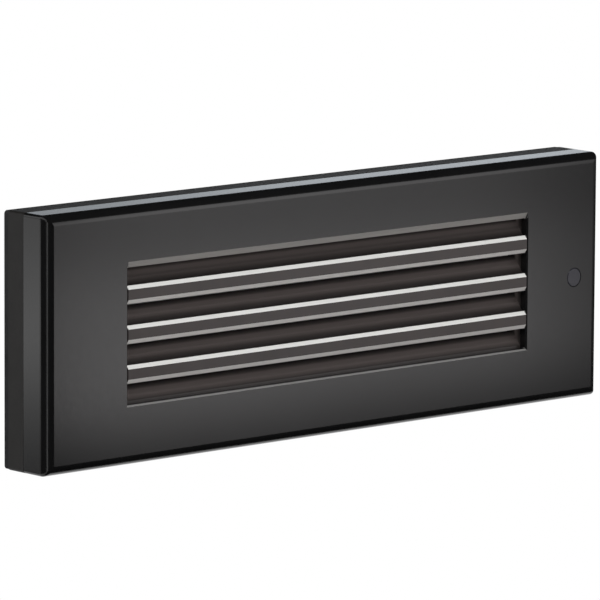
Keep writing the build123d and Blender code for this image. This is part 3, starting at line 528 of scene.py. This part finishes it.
# ---- clear and tinted pieces: how much passes straight through, the tint and how rough the surface is
clears = {
    "frostedGlass": {"on": ["lens"], "color": (0.90, 0.92, 0.91), "roughness": 0.55, "through": 0.30,
                     "ior": 1.50, "grain": 2600.0, "rise": 0.00004},
    "smokedWindow": {"on": ["photocell_window"], "color": (0.028, 0.028, 0.038), "roughness": 0.17,
                     "through": 0.25, "ior": 1.50, "grain": 500.0, "rise": 0.000004},
    "clearResin": {"on": ["photocell_sensor"], "color": (0.92, 0.90, 0.84), "roughness": 0.12,
                   "through": 0.75, "ior": 1.53, "grain": 300.0, "rise": 0.000004},
    "emitterWhite": {"on": ["led_chips"], "color": (0.88, 0.87, 0.83), "roughness": 0.40, "through": 0.0,
                     "ior": 1.50, "grain": 1500.0, "rise": 0.00001},
}
clearSkin = {
    "shade": 0.94,               # darkest part of the grain, as a share of the colour
    "glossLow": 0.9,
    "glossHigh": 1.1,
    "relief": 0.3,
}


def makeClear(name, setup):
    mat, tree, shader = newMaterial(name)
    where = objectCoordinates(tree)
    fine = fineNoise(tree, where, setup["grain"])
    color = mixColor(tree, fine, tuple(v * clearSkin["shade"] for v in setup["color"]), setup["color"])
    tree.links.new(color, shader.inputs["Base Color"])
    rough = spread(tree, fine, setup["roughness"] * clearSkin["glossLow"],
                   setup["roughness"] * clearSkin["glossHigh"])
    tree.links.new(rough, shader.inputs["Roughness"])
    shader.inputs["Transmission Weight"].default_value = setup["through"]
    shader.inputs["IOR"].default_value = setup["ior"]
    tree.links.new(bump(tree, fine, clearSkin["relief"], setup["rise"]), shader.inputs["Normal"])
    return mat


def dress(nodeNames, material):
    for name in nodeNames:
        obj = nodes[name]
        obj.data.materials.clear()
        obj.data.materials.append(material)


dress(["cover"], makePaint("coverPaint", coverPaint))
dress(["louvre_grille"], makePaint("grillePaint", grillePaint))
for finishName, finish in finishes.items():
    dress(finish["on"], makeMoulded(finishName, finish))
for finishName, finish in metals.items():
    dress(finish["on"], makeMetal(finishName, finish))
for finishName, finish in boards.items():
    dress(finish["on"], makeBoard(finishName, finish))
for finishName, finish in packages.items():
    dress([finish["on"]], makePackage(finishName, finish))
for finishName, finish in clears.items():
    dress(finish["on"], makeClear(finishName, finish))
print("nodes dressed")


# ---- surfaces worked out on whole arrays
def closedSurface(rings, first, last):
    # rings is rows of closed loops of points, and first and last are the points that close its two ends
    rows, columns = rings.shape[:2]
    points = np.vstack([rings.reshape(-1, 3), first, last])
    index = np.arange(rows * columns).reshape(rows, columns)
    after = np.roll(index, -1, axis=1)
    quads = np.stack([index[:-1], after[:-1], after[1:], index[1:]], axis=-1).reshape(-1, 4)
    firstFan = np.stack([np.full(columns, rows * columns), after[0], index[0]], axis=-1)
    lastFan = np.stack([np.full(columns, rows * columns + 1), index[-1], after[-1]], axis=-1)
    fans = np.vstack([firstFan, lastFan])
    corners = np.vstack([quads[:, [0, 1, 2]], quads[:, [0, 2, 3]], fans])
    a, b, c = points[corners[:, 0]], points[corners[:, 1]], points[corners[:, 2]]
    if np.einsum("ij,ij->i", a, np.cross(b, c)).sum() < 0:      # turned inside out
        quads, fans = quads[:, ::-1], fans[:, ::-1]
    return points, quads, fans


def copies(surface, places):
    # the same surface at every place
    points, quads, fans = surface
    shift = np.arange(len(places))[:, None, None] * len(points)
    moved = (points[None] + np.asarray(places, dtype=float)[:, None]).reshape(-1, 3)
    return moved, (quads[None] + shift).reshape(-1, 4), (fans[None] + shift).reshape(-1, 3)


def putPiece(name, surface, material, body):
    points, quads, fans = surface
    mesh = bpy.data.meshes.new(name)
    mesh.from_pydata(points.tolist(), [], quads.tolist() + fans.tolist())
    mesh.polygons.foreach_set("use_smooth", np.ones(len(mesh.polygons), dtype=bool))
    mesh.update()
    piece = bpy.data.objects.new(name, mesh)
    scene.collection.objects.link(piece)
    mesh.materials.append(material)
    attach(piece, body)


def tubeAlong(path, radius, sides):
    # a circle carried square to the path: its two radii are the run's sideways and upward directions
    run = np.gradient(path, axis=0)
    run /= np.linalg.norm(run, axis=1)[:, None]
    nearlyY = np.array([0.0, 1.0, 0.013])      # a hair off, so that a run along Y has a sideways too
    sideways = np.cross(run, nearlyY)
    sideways /= np.linalg.norm(sideways, axis=1)[:, None]
    upward = np.cross(sideways, run)
    turn = np.linspace(0.0, 2 * pi, sides, endpoint=False)[None, :, None]
    rings = path[:, None] + radius * (np.cos(turn) * sideways[:, None] + np.sin(turn) * upward[:, None])
    return closedSurface(rings, path[0], path[-1])


def turnedForward(profile, sides):
    # a profile of (radius, height towards the front) turned about the Y axis
    turn = np.linspace(0.0, 2 * pi, sides, endpoint=False)[None, :]
    radius, rise = profile[:, 0][:, None], profile[:, 1][:, None]
    rings = np.stack([radius * np.cos(turn), -rise + 0 * turn, radius * np.sin(turn)], axis=-1)
    return closedSurface(rings, np.array([0.0, -profile[0, 1], 0.0]), np.array([0.0, -profile[-1, 1], 0.0]))


def roundedBlock(half, squareness, rows, columns):
    # a superellipsoid: each axis is its half size times the signed power of the usual sines and cosines
    def power(value):
        return np.sign(value) * np.abs(value) ** squareness

    rise = np.linspace(-pi / 2, pi / 2, rows + 2)[1:-1, None]
    turn = np.linspace(0.0, 2 * pi, columns, endpoint=False)[None, :]
    rings = np.stack([
        half[0] * power(np.cos(rise)) * power(np.cos(turn)),
        half[1] * power(np.sin(rise)) + 0 * turn,
        half[2] * power(np.cos(rise)) * power(np.sin(turn)),
    ], axis=-1)
    return closedSurface(rings, np.array([0.0, -half[1], 0.0]), np.array([0.0, half[1], 0.0]))


# ---- the choke's winding: one layer of enamelled wire between the core's flanges
winding = {
    "turns": 10,
    "wireRadius": 0.00022,
    "flange": 0.0012,
    "waist": 0.0006,             # core inside the flanges
    "enamel": (0.42, 0.13, 0.045),
    "enamelShade": 0.8,
    "cloudScale": 700.0,
    "metallic": 0.6,
    "roughness": 0.28,
    "stepsPerTurn": 28,
    "sides": 8,
}


def makeWinding(setup):
    # a helix about Y: a circle in X and Z, whose depth goes evenly from flange to flange
    low, high = (np.array(corner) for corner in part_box("driver_choke"))
    middle = (low + high) / 2
    reach = (high[0] - low[0]) / 2 - setup["waist"] + setup["wireRadius"]
    turn = np.linspace(0.0, 2 * pi * setup["turns"], setup["turns"] * setup["stepsPerTurn"])
    edge = setup["flange"] + setup["wireRadius"]
    depth = np.linspace(high[1] - edge, low[1] + edge, len(turn))
    path = np.stack([middle[0] + reach * np.cos(turn), depth, middle[2] + reach * np.sin(turn)], axis=-1)
    mat, tree, shader = newMaterial("windingEnamel")
    where = objectCoordinates(tree)
    cloud = noise(tree, where, setup["cloudScale"])
    dark = tuple(v * setup["enamelShade"] for v in setup["enamel"])
    tree.links.new(mixColor(tree, cloud, dark, setup["enamel"]), shader.inputs["Base Color"])
    shader.inputs["Metallic"].default_value = setup["metallic"]
    shader.inputs["Roughness"].default_value = setup["roughness"]
    putPiece("chokeWinding", tubeAlong(path, setup["wireRadius"], setup["sides"]), mat, "base")


# ---- the emitters' phosphor: a low pillow in each package's window
phosphor = {
    "halfLength": 0.00130,
    "halfWidth": 0.00098,
    "rise": 0.00017,
    "color": (0.86, 0.62, 0.12),
    "shade": 0.82,
    "pitch": 0.012,              # from one emitter to the next along a row
    "packageHalf": 0.0014,       # half an emitter's width
    "sunk": 0.00011,             # from the package's front back to the pillow's middle
    "squareness": 0.45,
    "grid": (8, 24),
    "grain": 5000.0,
    "roughness": 0.35,
}


def emitterPlaces(setup):
    # columns one pitch apart about the middle, and two rows half an emitter in from the group's edges
    low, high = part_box("led_chips")
    columns = int(round((high[0] - low[0]) / setup["pitch"]))
    x = (np.arange(columns) - (columns - 1) / 2) * setup["pitch"]
    z = np.array([low[2] + setup["packageHalf"], high[2] - setup["packageHalf"]])
    gx, gz = np.meshgrid(x, z)
    return gx.ravel(), gz.ravel(), low[1]


def makePhosphor(setup):
    x, z, front = emitterPlaces(setup)
    half = (setup["halfLength"], setup["rise"], setup["halfWidth"])
    pillow = roundedBlock(half, setup["squareness"], *setup["grid"])
    places = np.stack([x, np.full_like(x, front + setup["sunk"]), z], axis=-1)
    mat, tree, shader = newMaterial("phosphorGel")
    grain = noise(tree, objectCoordinates(tree), setup["grain"], 4.0, 0.7)
    dark = tuple(v * setup["shade"] for v in setup["color"])
    tree.links.new(mixColor(tree, grain, dark, setup["color"]), shader.inputs["Base Color"])
    shader.inputs["Roughness"].default_value = setup["roughness"]
    putPiece("emitterPhosphor", copies(pillow, places), mat, "base")
    return x, z


# ---- solder: fillets at the emitters' ends, and a mound where each lead meets its board
solder = {
    "mound": 0.00105,
    "moundRise": 0.00085,
    "moundTop": 0.12,            # radius of a mound's flat top, as a share of its foot's
    "moundGrid": (9, 20),
    "pad": (0.00042, 0.00010, 0.00110),
    "padSquareness": 0.5,
    "padGrid": (6, 16),
    "padOut": 0.00185,           # from an emitter's middle to the fillet at its end
    "padRise": 0.00004,
    "color": (0.74, 0.75, 0.76),
    "shade": 0.8,
    "cloudScale": 1500.0,
    "roughness": (0.16, 0.34),
    "boardMounds": [(0.1073, 0.01765), (0.1035, 0.01765), (0.0978, 0.0080), (0.0978, 0.0125)],
    "ledMounds": [(0.0861, 0.0080), (0.0861, 0.0125)],
}


def makeSolder(setup, x, z):
    mat, tree, shader = newMaterial("solderTin")
    cloud = noise(tree, objectCoordinates(tree), setup["cloudScale"], 4.0)
    shader.inputs["Metallic"].default_value = 1.0
    dark = tuple(v * setup["shade"] for v in setup["color"])
    tree.links.new(mixColor(tree, cloud, dark, setup["color"]), shader.inputs["Base Color"])
    tree.links.new(spread(tree, cloud, *setup["roughness"]), shader.inputs["Roughness"])
    fillet = roundedBlock(setup["pad"], setup["padSquareness"], *setup["padGrid"])
    endX = np.concatenate([x - setup["padOut"], x + setup["padOut"]])
    endY = np.full_like(endX, -light["ledBoardFront"] - setup["padRise"])
    ends = np.stack([endX, endY, np.concatenate([z, z])], axis=-1)
    putPiece("emitterSolder", copies(fillet, ends), mat, "base")
    # a mound falls off as the square of a cosine from its middle to its foot
    steps, sides = setup["moundGrid"]
    step = np.linspace(1.0, setup["moundTop"], steps)
    profile = np.stack([setup["mound"] * step, setup["moundRise"] * np.cos(step * pi / 2) ** 2], axis=-1)
    mound = turnedForward(profile, sides)
    for name, places, front, slotName in (
        ("boardSolder", setup["boardMounds"], light["boardFront"], "board_green"),
        ("ledBoardSolder", setup["ledMounds"], light["ledBoardFront"], "led_board_white"),
    ):
        spots = [(px, -front, pz) for px, pz in places]
        putPiece(name, copies(mound, spots), mat, "base")


# ---- small surface-mounted parts in the free corners of the driver board
surfaceParts = {
    "half": (0.00100, 0.00030, 0.00062),
    "cap": 0.00026,              # length of the tinned end
    "places": [(0.1086, 0.0142), (0.1116, 0.0142), (0.1128, 0.0060), (0.1052, 0.0062), (0.1130, -0.0052),
               (0.1050, -0.0056), (0.1100, -0.0144)],
    "body": (0.030, 0.028, 0.030),
    "tin": (0.74, 0.74, 0.73),
    "margin": (1.1, 1.2),        # its finish reaches this many times a part's half length and half width
    "lift": 0.00003,             # from the board's front to a part's back
    "squareness": 0.22,
    "grid": (10, 28),
    "grain": 3000.0,
    "roughness": (0.28, 0.44),
}


def makeSurfaceParts(setup):
    mat, tree, shader = newMaterial("surfacePartCeramic")
    where = objectCoordinates(tree)
    x, y, z = axes(tree, where)
    halfLength, halfRise, halfWidth = setup["half"]
    alongMargin, acrossMargin = setup["margin"]
    ends = None
    for px, pz in setup["places"]:
        near = product(tree, within(tree, z, pz, halfWidth * acrossMargin),
                       within(tree, x, px, halfLength * alongMargin))
        tip = math(tree, "SUBTRACT", 1.0, within(tree, x, px, halfLength - setup["cap"]))
        tinned = product(tree, near, tip)
        ends = tinned if ends is None else math(tree, "MAXIMUM", ends, tinned)
    tree.links.new(mixColor(tree, ends, setup["body"], setup["tin"]), shader.inputs["Base Color"])
    tree.links.new(ends, shader.inputs["Metallic"])
    grain = noise(tree, where, setup["grain"])
    tree.links.new(spread(tree, grain, *setup["roughness"]), shader.inputs["Roughness"])
    block = roundedBlock(setup["half"], setup["squareness"], *setup["grid"])
    level = -light["boardFront"] - halfRise - setup["lift"]
    spots = [(px, level, pz) for px, pz in setup["places"]]
    putPiece("boardSurfaceParts", copies(block, spots), mat, "base")


makeWinding(winding)
emitterX, emitterZ = makePhosphor(phosphor)
makeSolder(solder, emitterX, emitterZ)
makeSurfaceParts(surfaceParts)
print("small pieces made")


# ---- surroundings: a white room, dimmer for the light that falls on dull surfaces
surroundings = {
    "ambient": 0.50,
    "keyPower": 62.0,
    "keySize": 0.9,
    "keyPlace": (-0.9, -1.6, 2.4),
    "floorDrop": 2.3,            # further below the light than the camera stands from it
    "floorHalf": 8.0,
    "floorColor": (0.86, 0.86, 0.85),
    "floorRoughness": 0.8,
}


def makeWorld(setup):
    world = bpy.data.worlds.new("studio")
    scene.world = world
    world.use_nodes = True
    tree = world.node_tree
    tree.nodes.clear()
    path = addNode(tree, "ShaderNodeLightPath")
    shown = math(tree, "MAXIMUM", path.outputs["Is Camera Ray"], path.outputs["Is Transmission Ray"])
    shown = math(tree, "MAXIMUM", shown, path.outputs["Is Glossy Ray"])
    shade = addNode(tree, "ShaderNodeBackground")
    shade.inputs["Color"].default_value = (1.0, 1.0, 1.0, 1.0)
    tree.links.new(mapRange(tree, shown, 0.0, 1.0, setup["ambient"], 1.0), shade.inputs["Strength"])
    out = addNode(tree, "ShaderNodeOutputWorld")
    tree.links.new(shade.outputs[0], out.inputs[0])


def makeKey(setup):
    data = bpy.data.lights.new("key", "AREA")
    data.energy = setup["keyPower"]
    data.size = setup["keySize"]
    lamp = bpy.data.objects.new("key", data)
    scene.collection.objects.link(lamp)
    lamp.location = setup["keyPlace"]
    lamp.rotation_mode = "QUATERNION"
    lamp.rotation_quaternion = (-Vector(setup["keyPlace"])).to_track_quat("-Z", "Y")
    lamp.visible_glossy = False


def makeFloor(setup):
    half = setup["floorHalf"]
    z = -light["height"] / 2 - setup["floorDrop"]
    mesh = bpy.data.meshes.new("floor")
    corners = [(-half, -half, z), (half, -half, z), (half, half, z), (-half, half, z)]
    mesh.from_pydata(corners, [], [(0, 1, 2, 3)])
    floor = bpy.data.objects.new("floor", mesh)
    scene.collection.objects.link(floor)
    mat, tree, shader = newMaterial("paleFloor")
    shader.inputs["Base Color"].default_value = (*setup["floorColor"], 1.0)
    shader.inputs["Roughness"].default_value = setup["floorRoughness"]
    glow = addNode(tree, "ShaderNodeEmission")
    path = addNode(tree, "ShaderNodeLightPath")
    mix = addNode(tree, "ShaderNodeMixShader")
    seen = math(tree, "MAXIMUM", path.outputs["Is Camera Ray"], path.outputs["Is Transmission Ray"])
    tree.links.new(math(tree, "MAXIMUM", seen, path.outputs["Is Glossy Ray"]), mix.inputs[0])
    tree.links.new(shader.outputs[0], mix.inputs[1])
    tree.links.new(glow.outputs[0], mix.inputs[2])
    tree.links.new(mix.outputs[0], tree.nodes["Material Output"].inputs[0])
    mesh.materials.append(mat)


# ---- cards that only the gloss sees. A curve's stops are (degrees, level) or (metres, level), white being 1
coveCard = {
    "radius": 0.315,             # an arch about the light's long axis, in front, above and behind
    "span": (-90.0, 181.0),      # degrees from straight in front, upwards
    "ends": (-0.25, 0.85),
    "grid": (120, 12),
    "around": [(-92, 0.01), (-34, 0.01), (-23, 0.02), (-19.0, 0.14), (-17.4, 0.85), (-15.2, 2.4),
               (-13.0, 1.6), (-8.5, 1.75), (-6.0, 1.05), (-3.5, 0.45), (-1.8, 0.5), (-0.5, 1.2), (2.0, 1.6),
               (33, 1.55), (37, 0.02), (150, 0.01), (160, 1.1), (168, 1.8), (178, 1.4), (182, 0.5)],
    "along": [(-0.25, 0.0), (0.09, 0.0), (0.13, 1.16), (0.158, 1.08), (0.205, 1.14), (0.278, 1.0),
              (0.335, 1.0), (0.362, 0.90), (0.382, 0.57), (0.40, 0.32), (0.50, 0.18), (0.85, 0.15)],
    "behind": [(-0.25, 0.3), (0.16, 0.56), (0.28, 0.84), (0.40, 0.92), (0.85, 0.9)],
    "color": (1.0, 0.978, 0.982),
    "behindColor": (0.88, 0.94, 1.0),
}
endCard = {
    "place": 0.86,               # closes the arch at its right end
    "half": 0.45,
    "grid": (4, 8),
    "forward": [(-0.45, 0.25), (-0.22, 0.14), (-0.10, 0.02), (0.45, 0.02)],
}
ringCard = {
    "centre": (-0.12, -0.02),    # a fence about an upright axis through the light's left end
    "radius": 0.45,
    "span": (-28.0, 122.0),      # degrees from straight in front towards the left
    "rise": (-0.34, 0.22),
    "grid": (6, 90),
    "around": [(-28, 0.02), (38, 0.02), (41.5, 1.6), (46.5, 1.6), (50, 0.02), (122, 0.02)],
}
sideCard = {
    "from": (-0.12, -0.01, 0.0),     # the light's left side
    "toward": (-0.661, 0.734, -0.153),
    "away": 0.42,
    "width": 0.32,
    "height": 0.34,
    "grid": (8, 4),
    "upward": [(-0.17, 0.15), (-0.05, 0.25), (-0.03, 0.6), (0.0, 1.65), (0.03, 1.0), (0.05, 0.8),
               (0.17, 0.4)],
}


def putCard(name, points, level, tint=None):
    # a grid of points as a sheet that glows by its own level and is seen by mirrored rays alone
    rows, columns = points.shape[:2]
    index = np.arange(rows * columns).reshape(rows, columns)
    corners = (index[:-1, :-1], index[:-1, 1:], index[1:, 1:], index[1:, :-1])
    quads = np.stack(corners, axis=-1).reshape(-1, 4)
    mesh = bpy.data.meshes.new(name)
    mesh.from_pydata(points.reshape(-1, 3).tolist(), [], quads.tolist())
    card = bpy.data.objects.new(name, mesh)
    scene.collection.objects.link(card)
    mat, tree, shader = newMaterial(name + "Glow")
    tree.nodes.remove(shader)
    x, y, z = axes(tree, objectCoordinates(tree))
    glow = addNode(tree, "ShaderNodeEmission")
    if tint:
        tree.links.new(tint(tree, x, y, z), glow.inputs["Color"])
    tree.links.new(level(tree, x, y, z), glow.inputs["Strength"])
    tree.links.new(glow.outputs[0], tree.nodes["Material Output"].inputs[0])
    mesh.materials.append(mat)
    card.visible_camera = False
    card.visible_diffuse = False
    card.visible_transmission = False
    card.visible_shadow = False


def makeCove(setup):
    # an arc of constant radius about X, drawn out along X
    rows, columns = setup["grid"]
    turn = np.radians(np.linspace(*setup["span"], rows))[:, None]
    along = np.linspace(*setup["ends"], columns)[None, :]
    points = np.stack([along + 0 * turn, -setup["radius"] * np.cos(turn) + 0 * along,
                       setup["radius"] * np.sin(turn) + 0 * along], axis=-1)

    def level(tree, x, y, z):
        # by the angle from straight in front, upwards, and by the place along the light
        degrees = degreesOf(tree, z, math(tree, "MULTIPLY", y, -1.0))
        around = ramp(tree, degrees, setup["around"])
        behind = math(tree, "GREATER_THAN", y, 0.0)
        front = math(tree, "SUBTRACT", 1.0, behind)
        along = math(tree, "ADD", product(tree, front, ramp(tree, x, setup["along"])),
                     product(tree, behind, ramp(tree, x, setup["behind"])))
        return product(tree, around, along)

    def tint(tree, x, y, z):
        return mixColor(tree, math(tree, "GREATER_THAN", y, 0.0), setup["color"], setup["behindColor"])

    putCard("coveCard", points, level, tint)


def makeEndCard(setup):
    # a flat square sheet across X
    rows, columns = setup["grid"]
    across = np.linspace(-setup["half"], setup["half"], columns)[None, :]
    rise = np.linspace(-setup["half"], setup["half"], rows)[:, None]
    flat = setup["place"] + 0 * across + 0 * rise
    points = np.stack([flat, across + 0 * rise, rise + 0 * across], axis=-1)

    def level(tree, x, y, z):
        return ramp(tree, y, setup["forward"])

    putCard("endCard", points, level)


def makeRing(setup):
    # an arc of constant radius about an upright axis, drawn out along Z
    rows, columns = setup["grid"]
    turn = np.radians(np.linspace(*setup["span"], columns))[None, :]
    rise = np.linspace(*setup["rise"], rows)[:, None]
    cx, cy = setup["centre"]
    points = np.stack([cx - setup["radius"] * np.sin(turn) + 0 * rise,
                       cy - setup["radius"] * np.cos(turn) + 0 * rise, rise + 0 * turn], axis=-1)

    def level(tree, x, y, z):
        left = math(tree, "MULTIPLY", math(tree, "SUBTRACT", x, cx), -1.0)
        front = math(tree, "MULTIPLY", math(tree, "SUBTRACT", y, cy), -1.0)
        return ramp(tree, degreesOf(tree, left, front), setup["around"])

    putCard("ringCard", points, level)


def makeSideCard(setup):
    # a flat sheet square to its direction, whose level changes with height alone
    rows, columns = setup["grid"]
    toward = np.array(setup["toward"]) / np.linalg.norm(setup["toward"])
    side = np.cross(toward, (0.0, 0.0, 1.0))
    side /= np.linalg.norm(side)
    up = np.cross(side, toward)
    centre = np.array(setup["from"]) + toward * setup["away"]
    across = np.linspace(-0.5, 0.5, columns)[None, :, None] * setup["width"] * side
    points = centre + across + np.linspace(-0.5, 0.5, rows)[:, None, None] * setup["height"] * up

    def level(tree, x, y, z):
        return ramp(tree, math(tree, "SUBTRACT", z, float(centre[2])), setup["upward"])

    putCard("sideCard", points, level)


makeWorld(surroundings)
makeKey(surroundings)
makeFloor(surroundings)
makeCove(coveCard)
makeEndCard(endCard)
makeRing(ringCard)
makeSideCard(sideCard)
print("studio set")
